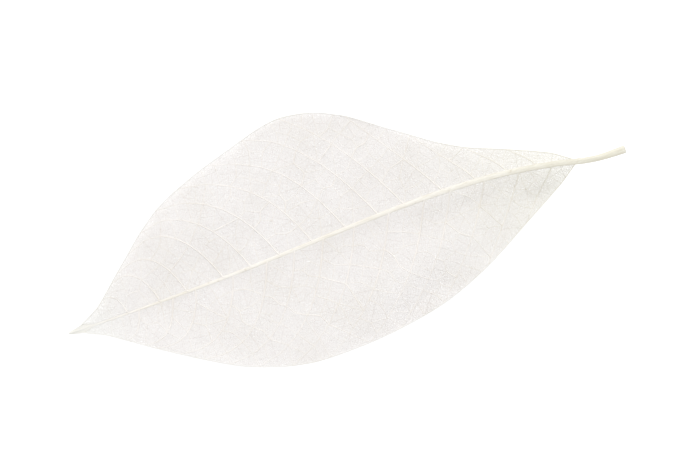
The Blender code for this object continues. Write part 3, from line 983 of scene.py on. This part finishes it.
def dress(made, kind):
    """Gives a piece its finish and its place in the frame."""
    made.data.materials.clear()
    made.data.materials.append(bleached_material(kind))
    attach(made, BODY)
    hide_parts(CAD_NODE)


def vein_tree():
    """The geometry nodes that turn a path into a round vein, as thick as the path's own radius says."""
    if "tapered vein" in bpy.data.node_groups:
        return bpy.data.node_groups["tapered vein"]
    inputs = {"Path": "Geometry", "Sides": "Int", "Unevenness": "Float", "Material": "Material"}
    tree, given = new_group("tapered vein", "GeometryNodeTree", inputs, {"Vein": "Geometry"})
    radius = add_output(tree, "GeometryNodeInputNamedAttribute", {"Name": VEIN_RADIUS}, data_type="FLOAT")
    curve = add_output(tree, "GeometryNodeMeshToCurve", {"Mesh": given["Path"]})
    section = {"Resolution": given["Sides"], "Radius": 1.0}
    circle = add_output(tree, "GeometryNodeCurvePrimitiveCircle", section)
    sweep = {"Curve": curve, "Profile Curve": circle, "Scale": radius, "Fill Caps": True}
    tube = add_output(tree, "GeometryNodeCurveToMesh", sweep)

    # Soft unevenness of the surface
    bumps = add_output(tree, "ShaderNodeTexNoise", {"Scale": BUMP_SCALE, "Detail": 2.0})
    lift = add_maths(tree, "MULTIPLY", add_maths(tree, "SUBTRACT", bumps, 0.5), given["Unevenness"])
    normal = add_output(tree, "GeometryNodeInputNormal")
    offset = add_output(tree, "ShaderNodeVectorMath", {0: normal, "Scale": lift}, operation="SCALE")
    uneven = add_output(tree, "GeometryNodeSetPosition", {"Geometry": tube, "Offset": offset})

    soft = add_output(tree, "GeometryNodeSetShadeSmooth", {"Geometry": uneven})
    real = add_output(tree, "GeometryNodeRealizeInstances", {"Geometry": soft})
    done = add_output(tree, "GeometryNodeSetMaterial", {"Geometry": real, "Material": given["Material"]})
    add_node(tree, "NodeGroupOutput", {"Vein": done})
    return tree


def laid_path(path, radii, sunk):
    """A path of the map laid on the net, with its radius at each point between the two given for its ends."""
    laid = []
    for k, place in enumerate(path):
        radius = between(radii, k / (len(path) - 1))
        laid.append((Vector((place.x, place.y, net_height(place) + (1 - sunk) * radius)), radius))
    return laid


def lay_veins(name, paths, sides, unevenness, kind):
    """Turns paths, each a list of points and radii in millimetres, into one dressed piece of round veins."""
    points, radii, edges = [], [], []
    for path in paths:
        first = len(points)
        points += [place * MM for place, _ in path]
        radii += [radius * MM for _, radius in path]
        edges += [(first + k, first + k + 1) for k in range(len(path) - 1)]
    mesh = bpy.data.meshes.new(name + "_paths")
    mesh.from_pydata(points, edges, [])
    mesh.attributes.new(VEIN_RADIUS, "FLOAT", "POINT").data.foreach_set("value", radii)
    source = add_object(name + "_paths", mesh)
    modifier = source.modifiers.new("tapered vein", "NODES")
    modifier.node_group = vein_tree()
    values = {"Sides": sides, "Unevenness": unevenness * MM, "Material": bleached_material(kind)}
    for item in modifier.node_group.interface.items_tree:
        if item.name in values and item.in_out == "INPUT":
            modifier[item.identifier] = values[item.name]
    graph = bpy.context.evaluated_depsgraph_get()
    made_mesh = bpy.data.meshes.new_from_object(source.evaluated_get(graph))
    bpy.data.objects.remove(source)
    made_mesh.name = name
    bm = bmesh.new()
    bm.from_mesh(made_mesh)
    bmesh.ops.recalc_face_normals(bm, faces=bm.faces[:])
    bm.to_mesh(made_mesh)
    bm.free()
    if not made_mesh.polygons:
        raise RuntimeError(name + " came out empty")
    dress(add_object(name, made_mesh), kind)


def number_setting(name, description, value, **settings):
    return bpy.props.FloatProperty(name=name, description=description, default=value, **settings)


def length_setting(name, description, millimetres, **settings):
    return number_setting(name, description, millimetres * MM, precision=6, unit="LENGTH", **settings)


def colour_setting(name, description, colour):
    return bpy.props.FloatVectorProperty(
        name=name, description=description, default=colour, subtype="COLOR", min=0, max=1
    )


class LeafNet(bpy.types.PropertyGroup):
    """Sizes of the fine net."""

    finest_mesh: number_setting(
        "Finest mesh", "Area in mm2 above which a mesh of the net is cut in two again", 0.066,
        min=0.05, max=5.0,
    )
    thread: length_setting("Thread", "Half width of a thread, before its growth is added", 0.032)
    thread_growth: length_setting(
        "Thread growth", "What each millimetre of the size of the mesh that a thread cuts adds to it", 0.013
    )


class LeafVeins(bpy.types.PropertyGroup):
    """Sizes of the midrib and the veins."""

    midrib_base: length_setting("Midrib at the base", "Radius of the midrib at the base", 0.50)
    midrib_tip: length_setting("Midrib at the tip", "Radius of the midrib near the tip", 0.19)
    stalk_end: length_setting("Stalk end", "Radius of the stalk at its cut end", 0.62)
    side_base: length_setting("Side vein at the midrib", "Radius where it leaves the midrib", 0.12)
    side_end: length_setting("Side vein at the margin", "Radius where it meets the margin", 0.055)
    cross_base: length_setting("Cross vein", "Radius of a cross vein, before its growth is added", 0.030)
    cross_growth: length_setting(
        "Cross vein growth", "What each millimetre of the size of the mesh that a vein cuts adds to it", 0.006
    )
    margin: length_setting("Margin", "Radius of the vein along the margin", 0.085)


class LeafColours(bpy.types.PropertyGroup):
    """Colours of the bleached fibre."""

    net: colour_setting("Net", "Colour of the net", (0.80, 0.767, 0.75))
    midrib: colour_setting("Midrib", "Colour of the midrib", (0.83, 0.81, 0.765))
    side_vein: colour_setting("Side veins", "Colour of the side veins and cross veins", (0.83, 0.80, 0.77))
    margin: colour_setting("Margin", "Colour of the vein along the margin", (0.76, 0.755, 0.735))
    stalk: colour_setting("Stalk", "Colour towards the stalk", (0.735, 0.72, 0.635))
    tip: colour_setting("Tip", "Colour of the dried tip", (0.785, 0.785, 0.76))
    stalk_reach: number_setting(
        "Stalk reach", "Share of the leaf's length over which the stalk's colour fades out", 0.42,
        min=0.05, max=1.0, subtype="FACTOR",
    )


class LeafStage(bpy.types.PropertyGroup):
    """The floor, the light and the camera."""

    floor_colour: colour_setting("Floor", "Colour of the floor", (0.62, 0.62, 0.62))
    floor_glow: number_setting("Floor glow", "How brightly the floor is lit from below", 0.45, min=0)
    key_power: number_setting("Key light", "Power of the large soft light", 3.3, min=0, unit="POWER")
    dome: number_setting("Dome", "Strength of the white surroundings", 0.985, min=0)
    lens: number_setting("Lens", "Focal length in millimetres", 85.0, min=10)
    field: length_setting("Field", "Width of what the camera sees of the floor", 113, min=0.01)
    turn: number_setting(
        "Turn", "Turn of the camera about the vertical", math.radians(161.2), subtype="ANGLE", unit="ROTATION"
    )


class LEAF_OT_net(bpy.types.Operator):
    """Grow the fine net of threads between the veins"""

    bl_idname = "skeleton_leaf.net"
    bl_label = "Net"

    def execute(self, context):
        for number, name in enumerate(NET_PIECES):
            dress(NetShell(vein_map(), number).build(name), "net")
        return {"FINISHED"}


class LEAF_OT_midrib(bpy.types.Operator):
    """Build the stalk, the midrib and the solid tip"""

    bl_idname = "skeleton_leaf.midrib"
    bl_label = "Midrib"

    def execute(self, context):
        dress(MidribSolid(context.scene.leaf_veins).build("midrib"), "midrib")
        return {"FINISHED"}


class LEAF_OT_side_veins(bpy.types.Operator):
    """Lay the side veins from the midrib to the margin"""

    bl_idname = "skeleton_leaf.side_veins"
    bl_label = "Side veins"

    def execute(self, context):
        grown = vein_map()
        sides, unevenness, sunk = SIDE_VEIN
        lines = [FIRST_SIDE_LINE[side] + k for side in SIDES for k in range(SIDE_VEINS)]
        paths = [laid_path(grown.path(line), grown.side_radii, sunk) for line in lines]
        for path in paths:
            first, radius = path[0]
            root = to_plan(from_plan(first)[0] - ROOT_STEP, 0.0)
            root.z = first.z
            path.insert(0, (root, radius))
        lay_veins("side_veins", paths, sides, unevenness, "side_vein")
        return {"FINISHED"}


class LEAF_OT_cross_veins(bpy.types.Operator):
    """Lay the cross veins that join the side veins"""

    bl_idname = "skeleton_leaf.cross_veins"
    bl_label = "Cross veins"

    def execute(self, context):
        grown = vein_map()
        sides, unevenness, sunk = CROSS_VEIN
        paths = []
        for line, area in sorted(grown.line_area.items()):
            radii = (grown.cross_vein_radius(area),) * 2
            paths.append(laid_path(grown.path(line), radii, sunk))
        lay_veins("cross_veins", paths, sides, unevenness, "side_vein")
        return {"FINISHED"}


class LEAF_OT_margin(bpy.types.Operator):
    """Lay the thin vein along the margin"""

    bl_idname = "skeleton_leaf.margin"
    bl_label = "Margin"

    def execute(self, context):
        sides, unevenness, sunk = MARGIN_VEIN
        radius = context.scene.leaf_veins.margin / MM
        paths = [self.lay_half(side, radius, sunk) for side in SIDES]
        lay_veins("margin_vein", paths, sides, unevenness, "margin")
        return {"FINISHED"}

    def lay_half(self, side, radius, sunk):
        """The path along one half's margin, which thins out along the solid tip."""
        last = DRAWN_TIP[1] - TIP_MARGIN_START
        path = [place for place in vein_map().path(MARGIN_LINES[side]) if from_plan(place)[0] < last]
        laid = laid_path(path, (radius, radius), sunk)
        last_u, _, last_v = from_plan(path[-1])
        for k in range(1, TIP_MARGIN_STEPS + 1):
            share = k / TIP_MARGIN_STEPS
            u = last_u + TIP_MARGIN_REACH * share * (1 - last_u)
            across = between((abs(last_v), TIP_MARGIN_ACROSS), smooth(share))
            place = to_plan(u, side * across * half_width(side, u))
            place.z = net_height(place)
            laid.append((place, radius * (1 - TIP_MARGIN_TAPER * share)))
        return laid


class LEAF_OT_stage(bpy.types.Operator):
    """Set up the floor, the light and the camera"""

    bl_idname = "skeleton_leaf.stage"
    bl_label = "Stage"

    def execute(self, context):
        settings = context.scene.leaf_stage
        self.lay_floor(settings)
        self.set_lights(context.scene, settings)
        self.set_camera(context.scene, settings)
        return {"FINISHED"}

    def lay_floor(self, settings):
        half = FLOOR_HALF_SIZE
        mesh = bpy.data.meshes.new("floor")
        corners = [(-half, -half), (half, -half), (half, half), (-half, half)]
        mesh.from_pydata([(x, y, CAD_LOW.z) for x, y in corners], [], [(0, 1, 2, 3)])
        floor = add_object("floor", mesh)
        material = bpy.data.materials.new("pale_floor")
        material.use_nodes = True
        tree = material.node_tree
        place = add_node(tree, "ShaderNodeTexCoord").outputs["Object"]
        cloud = add_noise(tree, place, FLOOR_CLOUD_SCALE, 2.0)
        darker = tuple(FLOOR_SHADE * value for value in settings.floor_colour)
        shading = {
            "Base Color": mix_colour(tree, cloud, (*settings.floor_colour, 1), (*darker, 1)),
            "Roughness": 0.9,
            "Emission Color": WHITE,
            "Emission Strength": settings.floor_glow,
            "Specular IOR Level": 0.1,
        }
        fill(tree, tree.nodes["Principled BSDF"], shading)
        mesh.materials.append(material)

    def set_lights(self, scene, settings):
        """White surroundings, and a large soft light from behind the leaf as the camera sees it."""
        world = bpy.data.worlds.new("white_surroundings")
        world.use_nodes = True
        tree = world.node_tree
        fill(tree, tree.nodes["Background"], {"Color": WHITE, "Strength": settings.dome})
        scene.world = world
        light = bpy.data.lights.new("key", "AREA")
        light.shape = "DISK"
        light.size = KEY_SIZE
        light.energy = settings.key_power
        key = add_object("key", light)
        centre = (CAD_LOW + CAD_HIGH) / 2
        back = Vector((-math.sin(settings.turn), math.cos(settings.turn), 0))
        key.location = centre + (back * KEY_BACK + Vector((0, 0, KEY_UP))).normalized() * KEY_DISTANCE
        key.rotation_euler = (centre - key.location).to_track_quat("-Z", "Y").to_euler()
        scene.view_settings.view_transform = "Standard"

    def set_camera(self, scene, settings):
        """The camera looks straight down."""
        data = bpy.data.cameras.new("camera")
        data.lens = settings.lens
        data.clip_start, data.clip_end = 0.01, 10
        camera = add_object("camera", data)
        centre = (CAD_LOW + CAD_HIGH) / 2
        height = settings.field * settings.lens / data.sensor_width
        camera.location = (centre.x, centre.y, CAD_LOW.z + height)
        camera.rotation_euler = (0, 0, settings.turn)
        scene.camera = camera


class LEAF_PT_panel(bpy.types.Panel):
    """The leaf's settings and steps"""

    bl_idname = "LEAF_PT_panel"
    bl_label = "Skeleton Leaf"
    bl_space_type = "VIEW_3D"
    bl_region_type = "UI"
    bl_category = "Skeleton Leaf"

    def draw(self, context):
        for title, group in SETTINGS.items():
            box = self.layout.box()
            box.label(text=group.__doc__)
            settings = getattr(context.scene, title)
            for name in group.__annotations__:
                box.prop(settings, name)
        for operator in OPERATORS:
            self.layout.operator(operator.bl_idname)


SETTINGS = {
    "leaf_net": LeafNet,
    "leaf_veins": LeafVeins,
    "leaf_colours": LeafColours,
    "leaf_stage": LeafStage,
}
OPERATORS = (
    LEAF_OT_net, LEAF_OT_midrib, LEAF_OT_side_veins, LEAF_OT_cross_veins, LEAF_OT_margin, LEAF_OT_stage,
)
CLASSES = (*SETTINGS.values(), *OPERATORS, LEAF_PT_panel)


def register():
    for item in CLASSES:
        bpy.utils.register_class(item)
    for name, group in SETTINGS.items():
        setattr(bpy.types.Scene, name, bpy.props.PointerProperty(type=group))


def unregister():
    for name in SETTINGS:
        delattr(bpy.types.Scene, name)
    for item in reversed(CLASSES):
        bpy.utils.unregister_class(item)


def main():
    register()
    bpy.ops.skeleton_leaf.net()
    bpy.ops.skeleton_leaf.midrib()
    bpy.ops.skeleton_leaf.side_veins()
    bpy.ops.skeleton_leaf.cross_veins()
    bpy.ops.skeleton_leaf.margin()
    bpy.ops.skeleton_leaf.stage()


if __name__ == "__main__":
    main()
